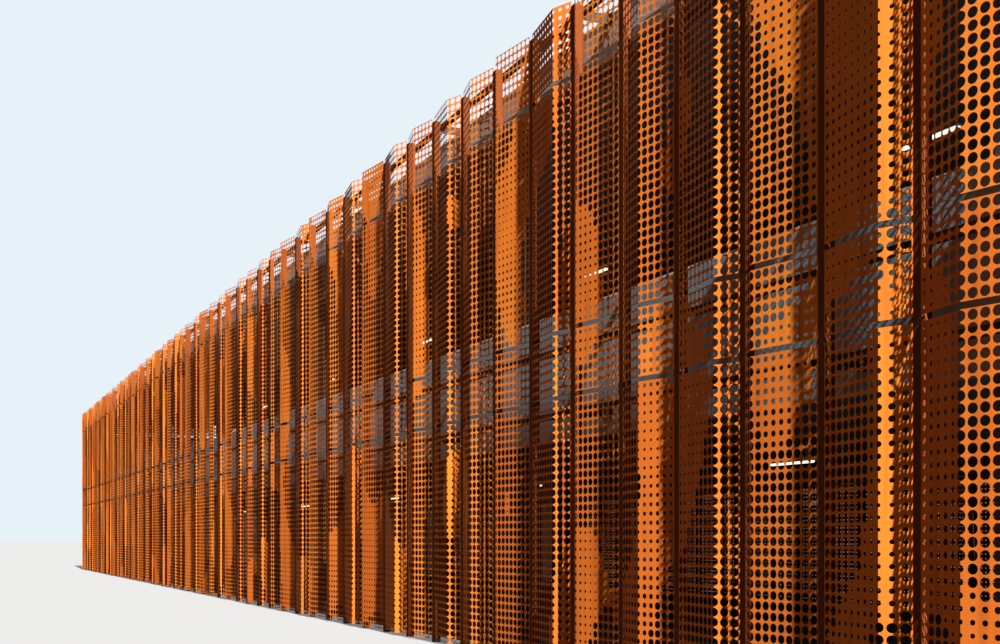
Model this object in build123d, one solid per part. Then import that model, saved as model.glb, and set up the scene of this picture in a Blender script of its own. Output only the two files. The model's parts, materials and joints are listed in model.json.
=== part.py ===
from build123d import *

import os

# An open-deck building of two storeys behind a screen of folded, perforated weathering steel.
# It is a 1:2 scale model: every size is that of the model, in millimetres.
# X runs along the building, the front screen faces -Y and Z points up.
# The origin is on the ground, in the middle of the plan.

# Plan
PANEL_MODULE = 600.0          # from seam to seam of the screen
PANELS_PER_BAY = 9
BAYS = 6
END_PANELS = 11               # panels across each short side
SCREEN_STANDOFF = 250.0       # from the seams' plane to the concrete edge behind it

# Folded panels
SHEET = 2.0
SEAM_GAP = 45.0               # open strip between two panels, in front of a post
FOLD_DEPTH = 56.0             # how far a panel's ridge stands out from its seams
HOLE_COLUMNS = 11             # columns of holes in one panel, which set where it may fold
FOLD_COLUMN = {"A": 8.25, "B": 2.5, "C": 5.4}    # columns to the left of the ridge
FOLD_ORDER = "CABACBABCA"     # panel types, counted from the right-hand end of a side

# In these rows of the front each panel of one type has a plain opening in its wide right leaf,
# in place of that leaf's field of holes.
OPENED_ROWS = ("ground", "upper")
OPENED_TYPE = "B"
OPENING_SIDE_MARGIN = 50.0    # from the opening to the leaf's side edges
OPENING_END_MARGIN = 150.0    # from the opening to the row's top and bottom

# Rows of panels, from the ground up
BASE_GAP = 25.0
JOINT_GAP = 28.0
ROW_HEIGHTS = {"ground": 1625.0, "band": 372.0, "upper": 1508.0, "parapet": 453.0}

# Steel behind the panels
POST_WIDTH = 60.0
POST_DEPTH = 50.0
POST_BELOW_EDGE = 30.0        # from the top of a post to the top edge of the screen
RAIL_HEIGHT = 40.0
RAIL_DEPTH = 30.0
RAIL_BELOW_EDGE = 70.0        # from a rail's middle to the top edge of its row
BASE_RAIL_HEIGHT = 85.0       # from the ground to the middle of the lowest rail
POSTS_PER_BRACKET = 4
BRACKET_THICKNESS = 8.0
BRACKET_HEIGHT = 60.0
BRACKET_FOOT = 60.0           # width of a bracket's foot, which lies flat on the concrete

# Concrete
GROUND_SLAB = 60.0
FLOOR_ABOVE_JOINT = 97.0      # from the lower edge of the narrow band of panels to the first floor
FLOOR_SLAB = 140.0
UPSTAND = 522.0               # concrete guard above the first floor
UPSTAND_HANG = 178.0          # how far that guard hangs below the floor's underside
ROOF_BELOW_EDGE = 117.0       # from the top edge of the screen down to the roof
ROOF_SLAB = 120.0
ROOF_KERB = 60.0
EDGE_WALL = 100.0             # thickness of the guards and of the roof's edge
COLUMN = 200.0

# Light fittings, hung in the middle of the building
LIGHT_LENGTH = 620.0
LIGHT_WIDTH = 52.0
LIGHT_BODY = 15.0
END_CAP = 15.0                # of a tray, past each end of its tube
TUBE_WIDTH = 44.0
TUBE_DROP = 20.0
ROD_WIDTH = 8.0
ROD_SPACING = 420.0
ROD_LENGTH = 150.0            # from the first floor's underside to a ground-storey light
GROUND_LIGHT_IN_BAY = 4890.0  # from a bay's left-hand line to the middle of its light
UPPER_LIGHT_IN_BAY = 1200.0

# The way in, on the back: panels of the ground row that are left out
ENTRANCE_PANELS = 5
ENTRANCE_BAY = 0              # whole bays to its left, seen from outside
ENTRANCE_START = 3            # panels from that bay's left edge to the opening

# Worked out from the sizes above
LONG_PANELS = BAYS * PANELS_PER_BAY
LENGTH = LONG_PANELS * PANEL_MODULE
DEPTH = END_PANELS * PANEL_MODULE
SLAB_LENGTH = LENGTH - 2 * SCREEN_STANDOFF
SLAB_DEPTH = DEPTH - 2 * SCREEN_STANDOFF
INNER_LENGTH = SLAB_LENGTH - 2 * EDGE_WALL
INNER_DEPTH = SLAB_DEPTH - 2 * EDGE_WALL
TUBE_LENGTH = LIGHT_LENGTH - 2 * END_CAP
RAIL_BACK = POST_DEPTH + RAIL_DEPTH
ENTRANCE = range(ENTRANCE_BAY * PANELS_PER_BAY + ENTRANCE_START,
                 ENTRANCE_BAY * PANELS_PER_BAY + ENTRANCE_START + ENTRANCE_PANELS)


def row_levels():
    """Return the bottom and top of each row of panels, from the ground up."""
    levels = {}
    bottom = BASE_GAP
    for row, height in ROW_HEIGHTS.items():
        levels[row] = (bottom, bottom + height)
        bottom += height + JOINT_GAP
    return levels


ROWS = row_levels()
SCREEN_TOP = ROWS["parapet"][1]
RAIL_LEVELS = {row: top - RAIL_BELOW_EDGE for row, (bottom, top) in ROWS.items()}
FLOOR_LEVEL = ROWS["band"][0] + FLOOR_ABOVE_JOINT
FLOOR_SOFFIT = FLOOR_LEVEL - FLOOR_SLAB
ROOF_LEVEL = SCREEN_TOP - ROOF_BELOW_EDGE
ROOF_SOFFIT = ROOF_LEVEL - ROOF_SLAB

# A side's own frame: x runs along it from left to right as seen from outside, y points into
# the building, and y = 0 is the plane of the seams.
SIDES = {
    "front": (Location((-LENGTH / 2, -DEPTH / 2, 0), (0, 0, 0)), LONG_PANELS),
    "right": (Location((LENGTH / 2, -DEPTH / 2, 0), (0, 0, 90)), END_PANELS),
    "back": (Location((LENGTH / 2, DEPTH / 2, 0), (0, 0, 180)), LONG_PANELS),
    "left": (Location((-LENGTH / 2, DEPTH / 2, 0), (0, 0, 270)), END_PANELS),
}


def box(x, y, z):
    """A box between three pairs of limits."""
    size = (x[1] - x[0], y[1] - y[0], z[1] - z[0])
    return Pos(x[0], y[0], z[0]) * Box(*size, align=(Align.MIN, Align.MIN, Align.MIN))


def panel_type(side_panels, index):
    """The fold type of a panel, whose index counts from the left-hand end of its side."""
    return FOLD_ORDER[(side_panels - 1 - index) % len(FOLD_ORDER)]


def panel_lines(kind):
    """Where a panel starts, folds and ends, from the seam on its left."""
    start = SEAM_GAP / 2
    end = PANEL_MODULE - SEAM_GAP / 2
    return start, start + (end - start) * FOLD_COLUMN[kind] / HOLE_COLUMNS, end


def panel_profile(kind):
    """The plan of one folded panel: two flat leaves that meet at a ridge."""
    start, ridge, end = panel_lines(kind)
    left_slope = FOLD_DEPTH / (ridge - start)
    right_slope = FOLD_DEPTH / (end - ridge)
    # Where the sheet's inner faces come down to the plane of the seams.
    inner_start = start + SHEET * (1 + left_slope**-2) ** 0.5
    inner_end = end - SHEET * (1 + right_slope**-2) ** 0.5
    inner_ridge = (left_slope * inner_start + right_slope * inner_end) / (left_slope + right_slope)
    inner_depth = (inner_ridge - inner_start) * left_slope
    points = [(start, 0), (ridge, -FOLD_DEPTH), (end, 0),
              (inner_end, 0), (inner_ridge, -inner_depth), (inner_start, 0)]
    return make_face(Polyline(*points, close=True))


def leaf_opening(kind, height):
    """The block that cuts the plain opening out of a panel's right leaf."""
    _, ridge, end = panel_lines(kind)
    return box((ridge + OPENING_SIDE_MARGIN, end - OPENING_SIDE_MARGIN), (-FOLD_DEPTH, SHEET),
               (OPENING_END_MARGIN, height - OPENING_END_MARGIN))


def folded_panels(side, row, first, last):
    """The panels of one row on a side, from index first up to, not including, last."""
    place, count = SIDES[side]
    bottom, top = ROWS[row]
    blanks = {kind: extrude(panel_profile(kind), amount=top - bottom, dir=(0, 0, 1))
              for kind in FOLD_COLUMN}
    if side == "front" and row in OPENED_ROWS:
        blanks[OPENED_TYPE] = blanks[OPENED_TYPE] - leaf_opening(OPENED_TYPE, top - bottom)
    solids = []
    for index in range(first, last):
        if side == "back" and row == "ground" and index in ENTRANCE:
            continue
        blank = blanks[panel_type(count, index)]
        solids.append(blank.moved(place * Pos(index * PANEL_MODULE, 0, bottom)))
    return solids


def posts(side):
    """A post behind every seam. The long sides also hold the four corner posts."""
    place, count = SIDES[side]
    corners = side in ("front", "back")
    top = SCREEN_TOP - POST_BELOW_EDGE
    solids = []
    for index in range(0 if corners else 1, count + 1 if corners else count):
        middle = index * PANEL_MODULE
        width = (middle - POST_WIDTH / 2, middle + POST_WIDTH / 2)
        if index == 0:
            width = (0, POST_DEPTH)
        if index == count:
            width = (middle - POST_DEPTH, middle)
        over_entrance = side == "back" and index in ENTRANCE[1:]
        bottom = RAIL_LEVELS["ground"] - RAIL_HEIGHT / 2 if over_entrance else 0
        solids.append(place * box(width, (0, POST_DEPTH), (bottom, top)))
    return solids


def rails(side):
    """Rails across the backs of the posts, one near the ground and one near each row's top."""
    place, count = SIDES[side]
    length = count * PANEL_MODULE
    along = (0, length) if side in ("front", "back") else (RAIL_BACK, length - RAIL_BACK)
    across = (POST_DEPTH, RAIL_BACK)
    solids = []
    for middle in (BASE_RAIL_HEIGHT, *RAIL_LEVELS.values()):
        height = (middle - RAIL_HEIGHT / 2, middle + RAIL_HEIGHT / 2)
        runs = [along]
        if side == "back" and middle == BASE_RAIL_HEIGHT:
            left_jamb = ENTRANCE[0] * PANEL_MODULE + POST_WIDTH / 2
            right_jamb = (ENTRANCE[-1] + 1) * PANEL_MODULE - POST_WIDTH / 2
            runs = [(along[0], left_jamb), (right_jamb, along[1])]
        solids += [place * box(run, across, height) for run in runs]
    return solids


def brackets(row):
    """Angles from a row's rail to the concrete edge, at every fourth post of all sides."""
    start, end = RAIL_BACK, SCREEN_STANDOFF
    half = BRACKET_THICKNESS / 2
    plan = [(-half, start), (half, start), (half, end - BRACKET_THICKNESS),
            (BRACKET_FOOT - half, end - BRACKET_THICKNESS), (BRACKET_FOOT - half, end), (-half, end)]
    angle = extrude(make_face(Polyline(*plan, close=True)), amount=BRACKET_HEIGHT, dir=(0, 0, 1))
    bottom = RAIL_LEVELS[row] + RAIL_HEIGHT / 2 - BRACKET_HEIGHT
    return [angle.moved(place * Pos(index * PANEL_MODULE, 0, bottom))
            for place, count in SIDES.values()
            for index in range(POSTS_PER_BRACKET, count, POSTS_PER_BRACKET)]


def slab(length, depth, bottom, top):
    """A flat slab in the middle of the plan."""
    return [box((-length / 2, length / 2), (-depth / 2, depth / 2), (bottom, top))]


def long_walls(bottom, top):
    """The front and back lengths of a wall round the concrete edge."""
    along = (-SLAB_LENGTH / 2, SLAB_LENGTH / 2)
    front = (-SLAB_DEPTH / 2, -INNER_DEPTH / 2)
    back = (INNER_DEPTH / 2, SLAB_DEPTH / 2)
    return [box(along, across, (bottom, top)) for across in (front, back)]


def end_walls(bottom, top):
    """The lengths of that wall across the two ends, between the long ones."""
    across = (-INNER_DEPTH / 2, INNER_DEPTH / 2)
    left = (-SLAB_LENGTH / 2, -INNER_LENGTH / 2)
    right = (INNER_LENGTH / 2, SLAB_LENGTH / 2)
    return [box(along, across, (bottom, top)) for along in (left, right)]


def column_lines():
    """The middles of the columns along the building: one at each bay line, two at the ends."""
    outer = (INNER_LENGTH - COLUMN) / 2
    inner = [(bay - BAYS / 2) * PANELS_PER_BAY * PANEL_MODULE for bay in range(1, BAYS)]
    return [-outer, *inner, outer]


def columns(bottom, top):
    """Columns along the front and the back, inside the edge walls."""
    line = (INNER_DEPTH - COLUMN) / 2
    height = top - bottom
    return [Pos(x, y, bottom) * Box(COLUMN, COLUMN, height, align=(Align.CENTER, Align.CENTER, Align.MIN))
            for x in column_lines() for y in (-line, line)]


def light_body():
    """A fitting's shallow tray, with its top at z = 0."""
    half = LIGHT_WIDTH / 2
    taper = LIGHT_BODY / 3
    section = [(-half + taper, 0), (half - taper, 0), (half, -LIGHT_BODY), (-half, -LIGHT_BODY)]
    face = Plane.YZ * make_face(Polyline(*section, close=True))
    return Pos(-LIGHT_LENGTH / 2, 0, 0) * extrude(face, amount=LIGHT_LENGTH, dir=(1, 0, 0))


def light_tube():
    """The rounded cover under a tray, for a tray whose top is at z = 0."""
    half = TUBE_WIDTH / 2
    chamfer = TUBE_DROP / 2
    section = [(-half, 0), (half, 0), (half, -TUBE_DROP + chamfer), (half - chamfer, -TUBE_DROP),
               (chamfer - half, -TUBE_DROP), (-half, -TUBE_DROP + chamfer)]
    face = Plane.YZ * make_face(Polyline(*section, close=True))
    return Pos(-TUBE_LENGTH / 2, 0, -LIGHT_BODY) * extrude(face, amount=TUBE_LENGTH, dir=(1, 0, 0))


def in_bays(offset):
    """Places along the building at one distance from the left-hand line of each bay, as far as
    a light there stays inside the walls."""
    places = [(bay - BAYS / 2) * PANELS_PER_BAY * PANEL_MODULE + offset for bay in range(BAYS)]
    return [x for x in places if abs(x) + LIGHT_LENGTH / 2 < INNER_LENGTH / 2]


def hung(piece, places, level):
    """Copies of a light's piece at a level, in the middle of the building."""
    return [piece.moved(Pos(x, 0, level)) for x in places]


def rods():
    """Two rods to each ground-storey light, from the first floor's underside."""
    half = ROD_WIDTH / 2
    height = (FLOOR_SOFFIT - ROD_LENGTH, FLOOR_SOFFIT)
    return [box((x + offset - half, x + offset + half), (-half, half), height)
            for x in in_bays(GROUND_LIGHT_IN_BAY) for offset in (-ROD_SPACING / 2, ROD_SPACING / 2)]


def model():
    """All nodes of the building, by name."""
    nodes = {}
    middle = LONG_PANELS // 2
    for row in ROWS:
        nodes[f"front_{row}_panels_left"] = folded_panels("front", row, 0, middle)
        nodes[f"front_{row}_panels_right"] = folded_panels("front", row, middle, LONG_PANELS)
        for side in ("back", "left", "right"):
            nodes[f"{side}_{row}_panels"] = folded_panels(side, row, 0, SIDES[side][1])
    for side in SIDES:
        nodes[f"{side}_posts"] = posts(side)
        nodes[f"{side}_rails"] = rails(side)
    nodes["floor_brackets"] = brackets("ground")
    nodes["roof_brackets"] = brackets("parapet")

    nodes["ground_slab"] = slab(SLAB_LENGTH, SLAB_DEPTH, 0, GROUND_SLAB)
    nodes["first_floor_slab"] = slab(INNER_LENGTH, INNER_DEPTH, FLOOR_SOFFIT, FLOOR_LEVEL)
    nodes["roof_slab"] = slab(INNER_LENGTH, INNER_DEPTH, ROOF_SOFFIT, ROOF_LEVEL)
    guard = (FLOOR_SOFFIT - UPSTAND_HANG, FLOOR_LEVEL + UPSTAND)
    roof_edge = (ROOF_SOFFIT, ROOF_LEVEL + ROOF_KERB)
    nodes["long_guard_walls"] = long_walls(*guard)
    nodes["end_guard_walls"] = end_walls(*guard)
    nodes["long_roof_edges"] = long_walls(*roof_edge)
    nodes["end_roof_edges"] = end_walls(*roof_edge)
    nodes["ground_storey_columns"] = columns(GROUND_SLAB, FLOOR_SOFFIT)
    nodes["upper_storey_columns"] = columns(FLOOR_LEVEL, ROOF_SOFFIT)

    low = (in_bays(GROUND_LIGHT_IN_BAY), FLOOR_SOFFIT - ROD_LENGTH)
    high = (in_bays(UPPER_LIGHT_IN_BAY), ROOF_SOFFIT)
    nodes["ground_storey_light_rods"] = rods()
    nodes["ground_storey_light_trays"] = hung(light_body(), *low)
    nodes["ground_storey_light_covers"] = hung(light_tube(), *low)
    nodes["upper_storey_light_trays"] = hung(light_body(), *high)
    nodes["upper_storey_light_covers"] = hung(light_tube(), *high)
    return nodes


def write(nodes):
    """Write one STEP file for each node."""
    os.makedirs("parts", exist_ok=True)
    for name, solids in nodes.items():
        export_step(Compound(children=solids, label=name), f"parts/{name}.step")


write(model())
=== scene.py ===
# %% [markdown]
# An open-deck building behind a screen of folded, punched steel
#
# The building is a long concrete deck structure of two storeys. What one sees of it is the
# screen in front: four rows of rusted steel sheets, each folded once along an upright ridge and
# punched with many round holes. This lesson dresses a plain solid model of it. The solids give
# the place and size of each piece. The holes, the finishes, the light and the camera are worked
# out here.

# %% Load the solid model
import json
import math

import bpy
import mathutils
import numpy as np
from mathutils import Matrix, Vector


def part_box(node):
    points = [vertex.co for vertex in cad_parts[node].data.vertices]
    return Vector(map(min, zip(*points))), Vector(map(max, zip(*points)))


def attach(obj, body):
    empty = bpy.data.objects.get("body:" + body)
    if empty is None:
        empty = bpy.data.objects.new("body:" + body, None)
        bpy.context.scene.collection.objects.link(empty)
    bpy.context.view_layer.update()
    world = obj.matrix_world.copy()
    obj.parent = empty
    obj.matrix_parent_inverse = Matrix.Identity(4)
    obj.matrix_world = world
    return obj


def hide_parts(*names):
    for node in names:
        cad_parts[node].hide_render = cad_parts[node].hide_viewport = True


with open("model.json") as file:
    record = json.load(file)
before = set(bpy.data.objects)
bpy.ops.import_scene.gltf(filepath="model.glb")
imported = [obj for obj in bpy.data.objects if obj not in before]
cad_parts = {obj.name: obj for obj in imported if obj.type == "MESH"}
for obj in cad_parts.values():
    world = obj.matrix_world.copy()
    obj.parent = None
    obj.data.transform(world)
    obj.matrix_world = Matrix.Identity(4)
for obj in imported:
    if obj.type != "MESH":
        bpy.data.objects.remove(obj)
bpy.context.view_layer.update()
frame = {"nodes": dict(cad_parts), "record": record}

# %% [markdown]
# The sizes of the screen
#
# The posts stand behind the seams between panels, so their node gives the length of a side. The
# panels' nodes give the rows, the gaps and how far a ridge stands out. A panel is folded along the
# middle of one of its columns of holes. There are three kinds of fold, which follow each other in
# a fixed order of ten, counted from the right end of a side.

# %% Read the screen's sizes from the frame
LONG_PANELS = 54
END_PANELS = 11
HOLE_COLUMNS = 11
PUNCHED_RIDGE = {"A": 8.5, "B": 2.5, "C": 5.5}    # the ridge on the flat sheet, in columns
FOLDED_RIDGE = {"A": 8.25, "B": 2.5, "C": 5.4}    # the ridge on the wall, in columns
FOLD_ORDER = "CABACBABCA"
HOLE_ROWS = {"ground": 33, "band": 7, "upper": 31, "parapet": 9}

posts_low, posts_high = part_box("front_posts")
HALF_LENGTH = posts_high.x
HALF_DEPTH = -posts_low.y
MODULE = 2 * HALF_LENGTH / LONG_PANELS
sheet_low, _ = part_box("front_ground_panels_left")
FOLD_DEPTH = posts_low.y - sheet_low.y
SEAM_GAP = 2 * (sheet_low.x - posts_low.x)
ROWS = {row: tuple(corner.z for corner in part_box(f"front_{row}_panels_left")) for row in HOLE_ROWS}
print(f"module {MODULE:.3f} m, seam gap {SEAM_GAP:.3f} m, fold depth {FOLD_DEPTH:.3f} m")
print("rows", {row: [round(level, 3) for level in levels] for row, levels in ROWS.items()})

# %% [markdown]
# The camera
#
# The photograph was taken from close beside the near end, at eye height, along the wall. Its
# upright lines stay upright, so the camera is level and its lens is shifted up. A camera tilted
# up would show the top of the wall too, but its upright lines would lean. The place is given from
# the corner of the wall, in metres of the model.

# %% Place the camera
EYE_HEIGHT = 0.80
EYE_PAST_END = 3.40            # beyond the near end, along the wall
EYE_FROM_WALL = 3.53
VIEW_ANGLE = 23.54             # between the optical axis and the wall, in degrees
SENSOR_WIDTH = 36.0            # in millimetres, as is the focal length
FOCAL_LENGTH = 46.5
LENS_SHIFT = 0.217             # as a share of the picture's width

camera_data = bpy.data.cameras.new("camera")
camera_data.sensor_width = SENSOR_WIDTH
camera_data.lens = FOCAL_LENGTH
camera_data.shift_y = LENS_SHIFT
camera = bpy.data.objects.new("camera", camera_data)
camera.location = (HALF_LENGTH + EYE_PAST_END, -HALF_DEPTH - EYE_FROM_WALL, EYE_HEIGHT)
camera.rotation_euler = (math.radians(90), 0, math.radians(90 - VIEW_ANGLE))
bpy.context.scene.collection.objects.link(camera)
bpy.context.scene.camera = camera
print("the camera stands at", [round(place, 2) for place in camera.location])

# %% [markdown]
# Writing node trees as sums
#
# Both the punched sheets and the finishes are worked out by nodes. A wire that carries a number
# is wrapped in a small class, so that a sum in the script becomes Math nodes in the tree. All
# other nodes come from one method, which takes the node's type, its settings and its sockets.


# %% A wrapper for what a wire carries
class Value:
    """What a wire carries. A sum or product of numbers on wires adds Math nodes."""

    def __init__(self, net, socket):
        self.net = net
        self.socket = socket

    def math(self, operation, *others, swap=False):
        terms = (*others, self) if swap else (self, *others)
        return self.net.add("ShaderNodeMath", {"operation": operation}, dict(enumerate(terms)))

    def __add__(self, other):
        return self.math("ADD", other)

    def __radd__(self, other):
        return self.math("ADD", other, swap=True)

    def __sub__(self, other):
        return self.math("SUBTRACT", other)

    def __rsub__(self, other):
        return self.math("SUBTRACT", other, swap=True)

    def __mul__(self, other):
        return self.math("MULTIPLY", other)

    def __rmul__(self, other):
        return self.math("MULTIPLY", other, swap=True)

    def __truediv__(self, other):
        return self.math("DIVIDE", other)

    def __rtruediv__(self, other):
        return self.math("DIVIDE", other, swap=True)

    def __gt__(self, other):
        return self.math("GREATER_THAN", other)

    def __lt__(self, other):
        return self.math("LESS_THAN", other)

    def floor(self):
        return self.math("FLOOR")


# %% One way to add a node
class Net:
    """A node tree, with one method that adds a node and links or sets its sockets."""

    def __init__(self, tree):
        self.tree = tree

    def add(self, kind, settings=None, sockets=None, output=0):
        """Add a node and return one of its outputs as a value, or all of them.

        The setting switch_items is the number of items of an Index Switch. A list as a socket's
        value links each of its wires, in that order.
        """
        node = self.tree.nodes.new(kind)
        for name, value in (settings or {}).items():
            if name == "switch_items":
                for _ in range(value - len(node.index_switch_items)):
                    node.index_switch_items.new()
            else:
                setattr(node, name, value)
        for key, value in (sockets or {}).items():
            for item in value if isinstance(value, list) else [value]:
                if isinstance(item, Value):
                    self.tree.links.new(item.socket, node.inputs[key])
                else:
                    node.inputs[key].default_value = item
        if output == "all":
            return [Value(self, socket) for socket in node.outputs]
        return Value(self, node.outputs[output]) if node.outputs else None

    def split(self, place):
        """The three numbers of a vector."""
        return self.add("ShaderNodeSeparateXYZ", {}, {0: place}, output="all")

    def vector(self, x=0.0, y=0.0, z=0.0):
        return self.add("ShaderNodeCombineXYZ", {}, {0: x, 1: y, 2: z})


# %% [markdown]
# How a sheet is punched
#
# The real sheets are punched flat and then folded, and the node tree works in the same order. It
# lays out the holes on a flat grid, makes a sheet around them and folds that sheet. A boolean cut
# through a folded sheet would be far slower, and it can fail on so many holes. The tree makes any
# group of panels, so what differs from group to group is an input with a name.

# %% The tree's inputs
LARGE_HOLE = 0.042             # diameter of the large holes
SMALLEST_SHARE = 0.34          # of that diameter
MEDIUM_SHARE = 0.72
CLOUD_EDGE = 0.43              # how much cloud a large hole needs
SEED = 23.0
INPUTS = {
    "Panels": ("NodeSocketInt", 1),
    "First Panel": ("NodeSocketInt", 0),
    "Last Panel": ("NodeSocketInt", 0),
    "Hole Rows": ("NodeSocketInt", 1),
    "Bottom": ("NodeSocketFloat", 0.0),
    "Top": ("NodeSocketFloat", 1.0),
    "Module": ("NodeSocketFloat", MODULE),
    "Seam Gap": ("NodeSocketFloat", SEAM_GAP),
    "Fold Depth": ("NodeSocketFloat", FOLD_DEPTH),
    "Large Hole": ("NodeSocketFloat", LARGE_HOLE),
    "Large Sides": ("NodeSocketInt", 12),
    "Small Sides": ("NodeSocketInt", 8),
    "Start": ("NodeSocketVector", (0.0, 0.0, 0.0)),
    "Turn": ("NodeSocketVector", (0.0, 0.0, 0.0)),
    "Cloud Edge": ("NodeSocketFloat", CLOUD_EDGE),
    "Smallest Share": ("NodeSocketFloat", SMALLEST_SHARE),
    "Medium Share": ("NodeSocketFloat", MEDIUM_SHARE),
    "Seed": ("NodeSocketFloat", SEED),
    "Material": ("NodeSocketMaterial", None),
}

sheet_tree = bpy.data.node_groups.new("punched_sheets", "GeometryNodeTree")
sheet_tree.interface.new_socket("Geometry", in_out="OUTPUT", socket_type="NodeSocketGeometry")
for name, (kind, value) in INPUTS.items():
    socket = sheet_tree.interface.new_socket(name, in_out="INPUT", socket_type=kind)
    if value is not None:
        socket.default_value = value
INPUT_KEYS = {item.name: item.identifier for item in sheet_tree.interface.items_tree
              if item.in_out == "INPUT"}

net = Net(sheet_tree)
group_outputs = net.add("NodeGroupInput", output="all")
given = {value.socket.name: value for value in group_outputs if value.socket.name}
print("the tree has", len(given), "inputs")

# %% [markdown]
# A point for each hole
#
# One step of the flat grid is one hole, along and up, so that sums about holes have whole and half
# numbers. The true spacing comes in with the fold. Between two panels one step stays free, so that
# panels don't touch while they are flat. Each point keeps the number of its panel.

# %% Lay out the holes
PANEL_STEP = HOLE_COLUMNS + 1  # from one panel to the next, in steps of the grid


def store(geometry, name, kind, value):
    settings = {"data_type": kind, "domain": "POINT"}
    return net.add("GeometryNodeStoreNamedAttribute", settings,
                   {"Geometry": geometry, "Name": name, "Value": value})


def read(name, kind):
    return net.add("GeometryNodeInputNamedAttribute", {"data_type": kind}, {"Name": name})


hole = net.add("GeometryNodeInputIndex")
columns = given["Panels"] * HOLE_COLUMNS
hole_row = (hole / columns).floor()
column = hole - hole_row * columns
hole_panel = (column / HOLE_COLUMNS).floor()
across_panel = column - hole_panel * HOLE_COLUMNS + 0.5
hole_points = net.add("GeometryNodePoints", {}, {
    "Count": columns * given["Hole Rows"],
    "Position": net.vector(hole_panel * PANEL_STEP + across_panel, hole_row + 0.5)})
hole_points = store(hole_points, "panel", "INT", hole_panel)
print("holes in a panel:", {row: rows * HOLE_COLUMNS for row, rows in HOLE_ROWS.items()})

# %% [markdown]
# How large each hole is
#
# The screen has holes of many sizes, and the eye reads them as light and dark patches. Here a rule
# gives the sizes: large holes in soft, upright clouds with a sharp edge, and between them small
# ones that swell and shrink slowly. A list of sizes would do the same, but it would be endless.
# Two noise textures with a fixed seed make the rule, and three numbers tune it.

# %% The rule for the holes' sizes
CLOUD_SCALE = 1.45
CLOUD_STRETCH = 0.55           # makes the clouds of large holes taller than wide
SWELL_SCALE = 1.9
SWELL_SEED = 7.0               # added to the seed, so that swell and cloud differ
SWELL_LOW, SWELL_HIGH = 0.32, 0.70

hole_pitch = (given["Top"] - given["Bottom"]) / given["Hole Rows"]
along = ((given["First Panel"] + hole_panel) * HOLE_COLUMNS + across_panel) * (MODULE / HOLE_COLUMNS)
up = given["Bottom"] + (hole_row + 0.5) * hole_pitch
cloud = net.add("ShaderNodeTexNoise", {"noise_dimensions": "4D"}, {
    "Vector": net.vector(along, up * CLOUD_STRETCH), "W": given["Seed"],
    "Scale": CLOUD_SCALE, "Detail": 0.0})
swell = net.add("ShaderNodeTexNoise", {"noise_dimensions": "4D"}, {
    "Vector": net.vector(along, up), "W": given["Seed"] + SWELL_SEED,
    "Scale": SWELL_SCALE, "Detail": 0.0})
small_share = net.add("ShaderNodeMapRange", {}, {
    "Value": swell, "From Min": SWELL_LOW, "From Max": SWELL_HIGH,
    "To Min": given["Smallest Share"], "To Max": given["Medium Share"]})
is_large = cloud > given["Cloud Edge"]
print(f"on the front, small holes are {SMALLEST_SHARE * LARGE_HOLE:.3f} to "
      f"{MEDIUM_SHARE * LARGE_HOLE:.3f} m wide, and large ones {LARGE_HOLE:.3f} m")

# %% [markdown]
# A circle for each hole
#
# Each point gets a circle of a few straight sides. More sides look rounder and cost triangles, so
# their number is an input. The steps along and up aren't quite as long as each other on the wall,
# and each circle is stretched a little to come out round. It is turned by a quarter, so that a
# ring of six has a corner at its top and bottom too. The fold needs those.

# %% Put the circles on the points
across_share = given["Large Hole"] / (given["Module"] - given["Seam Gap"]) * (0.5 * HOLE_COLUMNS)
upright_share = given["Large Hole"] / hole_pitch * 0.5


def circles(sides, share, chosen):
    """Circles on the chosen points, as a share of the large holes' size."""
    ring = net.add("GeometryNodeCurvePrimitiveCircle", {}, {"Resolution": sides, "Radius": 1.0})
    ring = net.add("GeometryNodeTransform", {}, {"Geometry": ring, "Rotation": (0, 0, math.radians(90))})
    return net.add("GeometryNodeInstanceOnPoints", {}, {
        "Points": hole_points, "Selection": chosen, "Instance": ring,
        "Scale": net.vector(across_share * share, upright_share * share, 1.0)})


large_holes = circles(given["Large Sides"], 1.0, is_large)
small_holes = circles(given["Small Sides"], small_share, 1 - is_large)
print("the tree has", len(sheet_tree.nodes), "nodes so far")

# %% [markdown]
# An outline for each panel
#
# An outline is a rectangle around the holes of one panel. A sheet folds cleanly only where it has
# edges along its ridge, so the outline gets a corner at each end of the ridge. Its straight sides
# are halved for that, and the halving points of its top and bottom are moved to the ridge.


# %% The kind of fold of a panel
def by_kind(panel, values):
    """A number for a panel, by its kind of fold."""
    in_order = (given["Last Panel"] - given["First Panel"] - panel).math("MODULO", len(FOLD_ORDER))
    choices = {str(number): values[kind] for number, kind in enumerate(FOLD_ORDER)}
    settings = {"data_type": "FLOAT", "switch_items": len(FOLD_ORDER)}
    return net.add("GeometryNodeIndexSwitch", settings, {"Index": in_order, **choices})


print("folds along a long side:", (FOLD_ORDER * LONG_PANELS)[:LONG_PANELS][::-1])

# %% Draw the outlines
AT_MIDDLE = 0.1                # picks the halving points, in steps of the grid

panel_number = net.add("GeometryNodeInputIndex")
panel_middle = net.vector(panel_number * PANEL_STEP + HOLE_COLUMNS / 2, given["Hole Rows"] * 0.5)
panel_points = net.add("GeometryNodePoints", {}, {"Count": given["Panels"], "Position": panel_middle})
panel_points = store(panel_points, "panel", "INT", panel_number)
outline = net.add("GeometryNodeCurvePrimitiveQuadrilateral", {}, {"Width": HOLE_COLUMNS, "Height": 1.0})
outline = net.add("GeometryNodeSubdivideCurve", {}, {"Curve": outline, "Cuts": 1})
outlines = net.add("GeometryNodeInstanceOnPoints", {}, {
    "Points": panel_points, "Instance": outline, "Scale": net.vector(1.0, given["Hole Rows"], 1.0)})
outlines = net.add("GeometryNodeRealizeInstances", {}, {0: outlines})

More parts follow.
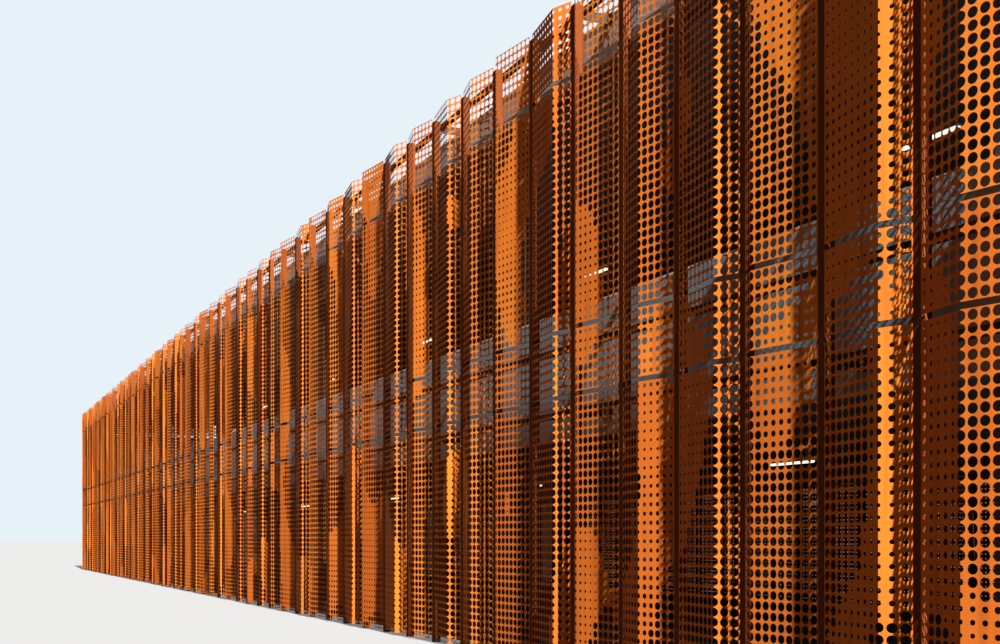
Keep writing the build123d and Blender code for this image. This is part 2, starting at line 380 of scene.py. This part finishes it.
outline_panel = read("panel", "INT")
outline_x, outline_y, _ = net.split(net.add("GeometryNodeInputPosition"))
off_middle = (outline_x - outline_panel * PANEL_STEP - HOLE_COLUMNS / 2).math("ABSOLUTE")
ridge_end = outline_panel * PANEL_STEP + by_kind(outline_panel, PUNCHED_RIDGE)
outlines = net.add("GeometryNodeSetPosition", {}, {
    "Geometry": outlines, "Selection": off_middle < AT_MIDDLE,
    "Position": net.vector(ridge_end, outline_y)})
print("the ridges lie after these columns of holes:", PUNCHED_RIDGE)

# %% [markdown]
# The flat sheet
#
# Fill Curve makes a sheet between an outline and the circles in it, with the fewest triangles that
# such a sheet can have. It fills each panel by itself, by the number that the points kept.
#
# The circles on the ridge have a corner at their top and one at their bottom. Fill Curve joins
# corners that are near each other, so it makes the edges along the ridge by itself.

# %% Fill each outline around its circles
cut_lines = net.add("GeometryNodeJoinGeometry", {}, {0: [outlines, large_holes, small_holes]})
flat_sheet = net.add("GeometryNodeFillCurve", {"mode": "TRIANGLES"}, {
    "Curve": net.add("GeometryNodeRealizeInstances", {}, {0: cut_lines}),
    "Group ID": read("panel", "INT")})
print("the tree has", len(sheet_tree.nodes), "nodes so far")

# %% [markdown]
# The fold
#
# A panel rises evenly from its left edge to its ridge, and falls evenly to its right edge. So each
# corner of the flat sheet has a rise from 0 to 1, which gives its distance from the wall and its
# place along it. The last nodes bring the group to its side of the building, turn instances into
# plain geometry and give it its finish.

# %% Fold the flat sheet
EDGE_SLACK = 0.25              # less than the free step, so that an edge stays with its own panel

flat_x, flat_y, _ = net.split(net.add("GeometryNodeInputPosition"))
own_panel = ((flat_x + EDGE_SLACK) / PANEL_STEP).floor()
own_column = flat_x - own_panel * PANEL_STEP
own_fold = by_kind(own_panel, PUNCHED_RIDGE)
past_ridge = own_column > own_fold
seam = given["Seam Gap"] * 0.5
open_width = given["Module"] - seam * 2
ridge = seam + open_width * by_kind(own_panel, FOLDED_RIDGE) / HOLE_COLUMNS
rise_left = own_column / own_fold
rise_right = (HOLE_COLUMNS - own_column) / (HOLE_COLUMNS - own_fold)
from_left = seam + (ridge - seam) * rise_left
from_right = given["Module"] - seam - (given["Module"] - seam - ridge) * rise_right
rise = rise_left + (rise_right - rise_left) * past_ridge
wall_x = (given["First Panel"] + own_panel) * given["Module"]
wall_x = wall_x + from_left + (from_right - from_left) * past_ridge
wall_z = given["Bottom"] + flat_y * hole_pitch
folded = net.add("GeometryNodeSetPosition", {}, {
    "Geometry": flat_sheet, "Position": net.vector(wall_x, given["Fold Depth"] * rise * -1, wall_z)})
placed = net.add("GeometryNodeTransform", {}, {
    "Geometry": folded, "Translation": given["Start"], "Rotation": given["Turn"]})
whole = net.add("GeometryNodeRealizeInstances", {}, {0: placed})
coated = net.add("GeometryNodeSetMaterial", {}, {"Geometry": whole, "Material": given["Material"]})
net.add("NodeGroupOutput", {}, {0: coated})
print("the whole tree has", len(sheet_tree.nodes), "nodes")

# %% [markdown]
# The rusted steel
#
# Weathering steel grows a dense orange rust. It is never one colour: rain draws darker upright
# streaks, each sheet has its own tone, and close up the rust is grainy. A photograph of rust
# wrapped round the sheets would blur close up and repeat from afar. Noise on the object's own
# coordinates does neither, and it stays in place when the camera moves.


# %% Helpers for all finishes
def new_material(name):
    """An empty material and its tree."""
    material = bpy.data.materials.new(name)
    material.use_nodes = True
    material.node_tree.nodes.clear()
    return material, Net(material.node_tree)


def own_place(net):
    """The place on the object, in metres."""
    return net.add("ShaderNodeTexCoord", output="Object")


def noise(net, where, scale, detail=2.0):
    return net.add("ShaderNodeTexNoise", {}, {"Vector": where, "Scale": scale, "Detail": detail})


def stretched(net, where, scale):
    return net.add("ShaderNodeMapping", {}, {"Vector": where, "Scale": scale})


def mix(net, share, first, second):
    """A mix of two colours. Sockets 6 and 7 take them, and output 2 gives their mix."""
    sockets = {"Factor": share, 6: first, 7: second}
    return net.add("ShaderNodeMix", {"data_type": "RGBA"}, sockets, output=2)


def surface(net, sockets, height=None, depth=0.0):
    """End a material in one shader, with a bump where a height is given."""
    if height is not None:
        sockets["Normal"] = net.add("ShaderNodeBump", {}, {"Height": height, "Distance": depth})
    shader = net.add("ShaderNodeBsdfPrincipled", {}, sockets)
    net.add("ShaderNodeOutputMaterial", {}, {"Surface": shader})


# %% Weathering steel
RUST_TONES = (0.71, 0.165, 0.012, 1), (0.86, 0.245, 0.024, 1)
DARK_SHEET = (0.50, 0.083, 0.010, 1)
RAIN_STREAK = (0.38, 0.065, 0.009, 1)
DARK_GRAIN = (0.41, 0.075, 0.008, 1)
STREAKED = (14, 14, 0.9)       # streaks are narrow along the wall and long up it
BELOW_ROW = 0.01               # just below the lowest corner of a row


def weathering_steel():
    material, net = new_material("weathering_steel")
    place = own_place(net)
    streaks = noise(net, stretched(net, place, STREAKED), 1.0, 3.0)
    cloud = noise(net, place, 1.7, 3.0)
    grain = noise(net, place, 240.0, 2.0)
    tone = mix(net, cloud, *RUST_TONES)
    x, y, z = net.split(place)
    above = [z > (ROWS[row][0] - BELOW_ROW) for row in ("band", "upper", "parapet")]
    sheet = net.vector(((x + HALF_LENGTH) / MODULE).floor(), ((y + HALF_DEPTH) / MODULE).floor(),
                       above[0] + above[1] + above[2])
    own_share = net.add("ShaderNodeTexWhiteNoise", {}, {"Vector": sheet}, output="Value")
    tone = mix(net, own_share * 0.6, tone, DARK_SHEET)
    tone = mix(net, (streaks - 0.5) * 2.6, tone, RAIN_STREAK)
    tone = mix(net, (grain - 0.58) * 1.6, tone, DARK_GRAIN)
    surface(net, {"Base Color": tone, "Roughness": 0.85, "Specular IOR Level": 0.15},
            height=grain, depth=0.0005)
    return material


STEEL = weathering_steel()
print(STEEL.name, "has", len(STEEL.node_tree.nodes), "nodes")

# %% [markdown]
# One piece for each node of panels
#
# The tree runs once for each group of panels, on an object with an empty mesh. Its result becomes
# a plain mesh, and that object goes with its modifier. The near half of the front has the roundest
# holes, the far half coarser ones, and the ends and the back, where few look closely, the coarsest.
#
# Through the front one looks at the inside of the back, and the inside is dark. So the back and
# the far end have few large holes, and in their lower rows none. The far half of the parapet has
# few too, because open sky shows through it.

# %% The sides, and how round and how large their holes are
SIDES = {                      # start, turn in degrees and number of panels
    "front": ((-HALF_LENGTH, -HALF_DEPTH, 0), 0, LONG_PANELS),
    "right": ((HALF_LENGTH, -HALF_DEPTH, 0), 90, END_PANELS),
    "back": ((HALF_LENGTH, HALF_DEPTH, 0), 180, LONG_PANELS),
    "left": ((-HALF_LENGTH, HALF_DEPTH, 0), 270, END_PANELS),
}
ROUND_HOLES = (12, 8)          # sides of the large and the small holes
COARSE_HOLES = (8, 6)
FAR_HOLES = (6, 4)
SPARSE_EDGE = 0.55             # the cloud edge where large holes are few
CLOSED_EDGE = 1.0              # and where there are none
CLOSED_SHARES = (0.15, 0.23)   # the small holes' shares there
print("panels on each side:", {side: count for side, (_, _, count) in SIDES.items()})


# %% A mesh from the tree
def plain_mesh(tree, keys, values):
    """The mesh that a node tree makes from the given values."""
    holder = bpy.data.objects.new("holder", bpy.data.meshes.new("holder"))
    bpy.context.scene.collection.objects.link(holder)
    modifier = holder.modifiers.new("nodes", "NODES")
    modifier.node_group = tree
    for name, value in values.items():
        modifier[keys[name]] = value
    evaluated = holder.evaluated_get(bpy.context.evaluated_depsgraph_get())
    mesh = bpy.data.meshes.new_from_object(evaluated)
    bpy.data.objects.remove(holder)
    return mesh


def panel_sheets(side, row, first, last, sides):
    """The sheets of one row on one side, from the first panel to the one before the last."""
    start, turn, count = SIDES[side]
    bottom, top = ROWS[row]
    hidden = side in ("back", "left")
    edge, shares = CLOUD_EDGE, (SMALLEST_SHARE, MEDIUM_SHARE)
    if hidden or (row == "parapet" and sides == COARSE_HOLES):
        edge = SPARSE_EDGE
    if hidden and row in ("ground", "band"):
        edge, shares = CLOSED_EDGE, CLOSED_SHARES
    return plain_mesh(sheet_tree, INPUT_KEYS, {
        "Cloud Edge": edge, "Smallest Share": shares[0], "Medium Share": shares[1],
        "Panels": last - first, "First Panel": first, "Last Panel": count - 1,
        "Hole Rows": HOLE_ROWS[row], "Bottom": bottom, "Top": top,
        "Large Sides": sides[0], "Small Sides": sides[1],
        "Start": start, "Turn": (0.0, 0.0, math.radians(turn)), "Material": STEEL})


# %% A piece from one mesh or several
def add_piece(name, mesh, node):
    piece = bpy.data.objects.new(name, mesh)
    mesh.name = name
    bpy.context.scene.collection.objects.link(piece)
    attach(piece, "root")
    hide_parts(node)
    return piece


def joined(meshes):
    """One mesh of several, with their common material."""
    points, corners, count = [], [], 0
    for mesh in meshes:
        places = np.empty(len(mesh.vertices) * 3, np.float32)
        mesh.vertices.foreach_get("co", places)
        loops = np.empty(len(mesh.loops), np.int32)
        mesh.loops.foreach_get("vertex_index", loops)
        points.append(places)
        corners.append(loops + count)
        count += len(mesh.vertices)
    whole = bpy.data.meshes.new("joined")
    whole.from_pydata(np.concatenate(points).reshape(-1, 3), [], np.concatenate(corners).reshape(-1, 3))
    whole.materials.append(meshes[0].materials[0])
    return whole


# %% [markdown]
# The groups of panels
#
# A group is what one node of the solid model holds: one row of one side, and on the front the left
# or the right half of it. On the back, five panels of the ground row are left out for the way in,
# so that row is made in two runs, which are joined into one mesh.

# %% Punch and fold all sheets
MIDDLE = LONG_PANELS // 2
GROUPS = [                     # side, part, first and last panel, sides of its holes
    ("front", "left", 0, MIDDLE, COARSE_HOLES),
    ("front", "right", MIDDLE, LONG_PANELS, ROUND_HOLES),
    ("right", "", 0, END_PANELS, FAR_HOLES),
    ("left", "", 0, END_PANELS, FAR_HOLES),
    ("back", "", 0, LONG_PANELS, FAR_HOLES),
]
ENTRANCE = (3, 8)              # the first panel of the gap, and the first one after it
sheets = {side: [] for side in SIDES}
for row in HOLE_ROWS:
    for side, part, first, last, sides in GROUPS:
        runs = [(first, last)]
        if side == "back" and row == "ground":
            runs = [(first, ENTRANCE[0]), (ENTRANCE[1], last)]
        meshes = [panel_sheets(side, row, *run, sides) for run in runs]
        mesh = joined(meshes) if len(meshes) > 1 else meshes[0]
        ending = f"_{part}" if part else ""
        name = f"{side}_{row}_sheets{ending}"
        sheets[side].append(add_piece(name, mesh, f"{side}_{row}_panels{ending}"))
        print(name, len(mesh.polygons), "triangles")
triangles = sum(len(piece.data.polygons) for pieces in sheets.values() for piece in pieces)
print("all sheets", triangles, "triangles")

# %% [markdown]
# Dark steel
#
# The posts have the same rust as the sheets, only darker, and part of that darkness is painted shade of
# the deep seams they stand in. Rails and brackets are dark brown steel. Their shapes are right as they
# are in the solid model, so they only need a finish.


# %% Dark steel for posts, rails and brackets
def frame_steel(name, dark, pale):
    material, net = new_material(name)
    cloud = noise(net, stretched(net, own_place(net), (8, 8, 2)), 1.0, 3.0)
    surface(net, {"Base Color": mix(net, cloud, dark, pale), "Roughness": 0.8,
                  "Specular IOR Level": 0.05})
    return material


# The posts' dark tones are dark rust and painted shade of the deep seams.
post_rust_and_seam_shade = frame_steel("post_rust_and_seam_shade", (0.085, 0.020, 0.006, 1), (0.17, 0.043, 0.011, 1))
rail_steel = frame_steel("frame_steel", (0.03, 0.019, 0.013, 1), (0.07, 0.045, 0.032, 1))
print("steels:", post_rust_and_seam_shade.name, "and", rail_steel.name)

# %% [markdown]
# Concrete
#
# The decks are plain cast concrete, paler on the guard walls and weathered on the roof. Inside, the
# decks' dark tone is painted shade. The top edge of a guard wall carries a painted highlight, a pale
# band. A level line parts the two tones of a piece, and so that painted highlight needs no shape of its
# own.
#
# The sun meets the tops of the roof's edges steeply, so their tones are darker than the real ones.


# %% Concrete in two tones
def concrete(name, dark, pale, line, past_line):
    """Cast concrete, with two other tones above a level line."""
    material, net = new_material(name)
    place = own_place(net)
    cloud = noise(net, place, 0.9, 4.0)
    grain = noise(net, place, 90.0, 3.0)
    height = net.split(place)[2]
    tone = mix(net, height > line, mix(net, cloud, dark, pale), mix(net, cloud, *past_line))
    surface(net, {"Base Color": tone, "Roughness": 0.85, "Specular IOR Level": 0.2},
            height=grain, depth=0.0008)
    return material


ROOF_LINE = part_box("roof_slab")[1].z - 0.001
GUARD_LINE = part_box("long_guard_walls")[1].z - 0.014
ROOF_TONES = (0.33, 0.33, 0.32, 1), (0.47, 0.465, 0.45, 1)
COPING_TONES = (0.16, 0.16, 0.155, 1), (0.25, 0.245, 0.235, 1)
# Painted highlight: a pale band on the guard walls' top edge, above the guard line.
PAINTED_HIGHLIGHT_TONES = (0.62, 0.64, 0.62, 1), (0.75, 0.76, 0.74, 1)

# Painted shade: the dark tones of the decks and columns stand in for the shade deep inside.
deck_painted_shade = concrete("deck_concrete_painted_shade", (0.06, 0.06, 0.06, 1), (0.12, 0.12, 0.115, 1), ROOF_LINE, ROOF_TONES)
guard = concrete("guard_concrete", (0.24, 0.29, 0.30, 1), (0.33, 0.38, 0.39, 1),
                 GUARD_LINE, PAINTED_HIGHLIGHT_TONES)
roof_edge = concrete("concrete", (0.42, 0.44, 0.44, 1), (0.56, 0.57, 0.56, 1), ROOF_LINE, COPING_TONES)
print(f"concrete changes tone at {GUARD_LINE:.3f} m and {ROOF_LINE:.3f} m")

# %% [markdown]
# The lights
#
# Each storey has rows of batten lights: a pale sheet tray over a white cover with the tube in it.
# By day the covers show as short bright strokes through the holes. A lamp in each would light the
# decks, which stay dark in the photograph, so the cover only glows a little.


# %% Trays and covers
def light_tray():
    material, net = new_material("light_tray")
    tone = mix(net, noise(net, own_place(net), 20.0), (0.62, 0.62, 0.60, 1), (0.72, 0.72, 0.70, 1))
    surface(net, {"Base Color": tone, "Roughness": 0.45})
    return material


def light_cover():
    material, net = new_material("light_cover")
    glow = mix(net, noise(net, own_place(net), 6.0), (0.90, 0.97, 0.78, 1), (1.0, 1.0, 0.90, 1))
    surface(net, {"Base Color": (0.9, 0.9, 0.88, 1), "Roughness": 0.4,
                  "Emission Color": glow, "Emission Strength": 1.15})
    return material


tray = light_tray()
cover = light_cover()
print("lights:", tray.name, "and", cover.name)

# %% [markdown]
# Finishing the solids
#
# All pieces but the sheets are the solid model's own meshes. The ending of a node's name says what
# the piece is, so a short list of endings gives each one its finish.

# %% Give each solid its finish
FINISHES = [("posts", post_rust_and_seam_shade), ("rails", rail_steel), ("brackets", rail_steel), ("light_rods", tray),
            ("light_trays", tray), ("light_covers", cover), ("slab", deck_painted_shade), ("columns", deck_painted_shade),
            ("guard_walls", guard), ("roof_edges", roof_edge)]
for entry in frame["record"]["subparts"]:
    for ending, finish in FINISHES:
        if entry["node"].endswith(ending):
            mesh = frame["nodes"][entry["node"]].data
            mesh.materials.clear()
            mesh.materials.append(finish)
            print(entry["node"], "is", finish.name)

# %% [markdown]
# The sun
#
# The sun comes along the wall from the near end and almost grazes it. It lights the leaves that
# face it and leaves the others in shade, and that shows the folds. A sun further off the wall
# would light both leaves of a panel alike.

# %% The key sun
SUN_OFF_WALL = 3.2             # degrees between the sun's bearing and the wall
SUN_HEIGHT = 38.0
SUN_STRENGTH = 18.0
SUN_SOFTNESS = 0.6


def sun(name, bearing, height, strength, softness):
    """A sun that shines from a bearing, in degrees from +X towards +Y."""
    lamp = bpy.data.lights.new(name, "SUN")
    lamp.energy = strength
    lamp.angle = math.radians(softness)
    holder = bpy.data.objects.new(name, lamp)
    across = math.cos(math.radians(height))
    towards = mathutils.Vector((across * math.cos(math.radians(bearing)),
                                across * math.sin(math.radians(bearing)), math.sin(math.radians(height))))
    holder.rotation_euler = towards.to_track_quat("Z", "Y").to_euler()
    bpy.context.scene.collection.objects.link(holder)
    return holder


key_sun = sun("key", -SUN_OFF_WALL, SUN_HEIGHT, SUN_STRENGTH, SUN_SOFTNESS)
print(f"the key sun stands {SUN_HEIGHT} degrees high and {SUN_OFF_WALL} degrees off the wall")

# %% [markdown]
# Weaker suns
#
# A sun that grazes a wall has to be strong to light it, and it turns to white what it meets
# squarely. Light linking keeps it off the sheets of the near end and off the roof, which still
# cast its shadows. These two and the sides that it doesn't reach get weaker suns of their own, so
# that rust and concrete look much the same from all sides.

# %% Weaker suns, and what each sun lights
ROOF_STRENGTH = 4.8
FILL_SUNS = {                  # bearing, height, strength and softness
    "right": (48.0, 30.0, 3.2, 6.0),
    "back": (27.0, 30.0, 4.6, 6.0),
    "left": (132.0, 35.0, 3.9, 6.0),
}


def link_light(lamp, pieces, state):
    """Let a lamp light these pieces only, with INCLUDE, or all but these, with EXCLUDE."""
    group = bpy.data.collections.new(f"{lamp.name}_pieces")
    for piece in pieces:
        group.objects.link(piece)
    lamp.light_linking.receiver_collection = group
    for link in group.collection_objects:
        link.light_linking.link_state = state


roof = frame["nodes"]["roof_slab"]
link_light(key_sun, [*sheets["right"], roof], "EXCLUDE")
link_light(sun("roof_fill", -SUN_OFF_WALL, SUN_HEIGHT, ROOF_STRENGTH, SUN_SOFTNESS), [roof], "INCLUDE")
for side, setting in FILL_SUNS.items():
    link_light(sun(f"{side}_fill", *setting), sheets[side], "INCLUDE")
print("weaker suns:", len(FILL_SUNS) + 1)

# %% [markdown]
# The world
#
# The world's own light is faint and warm, like light thrown back by rust. What one sees of the
# world, straight, in a gloss or through glass, is a pale sky. Light Path tells such rays from the
# rays that light the object.


# %% The world's light, and the sky that one sees
def is_seen(net):
    """1 for rays that see the background, and 0 for those that light the object."""
    rays = {value.socket.name: value for value in net.add("ShaderNodeLightPath", output="all")}
    seen = rays["Is Camera Ray"].math("MAXIMUM", rays["Is Glossy Ray"])
    return seen.math("MAXIMUM", rays["Is Transmission Ray"])


world = bpy.data.worlds.new("world")
world.use_nodes = True
world.node_tree.nodes.clear()
world_net = Net(world.node_tree)
soft = world_net.add("ShaderNodeBackground", {}, {"Color": (1.0, 0.62, 0.51, 1), "Strength": 0.09})
sky = world_net.add("ShaderNodeBackground", {}, {"Color": (0.80, 0.88, 0.94, 1), "Strength": 1.0})
shown = world_net.add("ShaderNodeMixShader", {}, {0: is_seen(world_net), 1: soft, 2: sky})
world_net.add("ShaderNodeOutputWorld", {}, {"Surface": shown})
bpy.context.scene.world = world
print("the world has", len(world.node_tree.nodes), "nodes")

# %% [markdown]
# The floor
#
# The floor is made in the same way. To the eye it is pale, by its colour and a little glow, and it
# keeps the building's shadow. The sun meets it steeply, so its colour is darker than it looks. To
# all other rays it is dark, because a pale floor would light the decks from below.

# %% The floor, and how colours are shown
FLOOR_REACH = 400.0            # from the middle of the floor to each of its edges

floor_material, floor_net = new_material("floor")
lit = floor_net.add("ShaderNodeBsdfDiffuse", {}, {"Color": (0.175, 0.175, 0.17, 1)})
glow = floor_net.add("ShaderNodeEmission", {}, {"Color": (0.95, 0.97, 1.0, 1), "Strength": 0.22})
pale = floor_net.add("ShaderNodeAddShader", {}, {0: lit, 1: glow})
dark = floor_net.add("ShaderNodeBsdfDiffuse", {}, {"Color": (0.036, 0.026, 0.022, 1)})
shown = floor_net.add("ShaderNodeMixShader", {}, {0: is_seen(floor_net), 1: dark, 2: pale})
floor_net.add("ShaderNodeOutputMaterial", {}, {"Surface": shown})

corners = [(x * FLOOR_REACH, y * FLOOR_REACH, 0) for x, y in ((-1, -1), (1, -1), (1, 1), (-1, 1))]
floor_mesh = bpy.data.meshes.new("floor")
floor_mesh.from_pydata(corners, [], [(0, 1, 2, 3)])
floor_mesh.materials.append(floor_material)
floor = bpy.data.objects.new("floor", floor_mesh)
bpy.context.scene.collection.objects.link(floor)

bpy.context.scene.view_settings.view_transform = "Standard"
print("the floor reaches", FLOOR_REACH, "m each way")
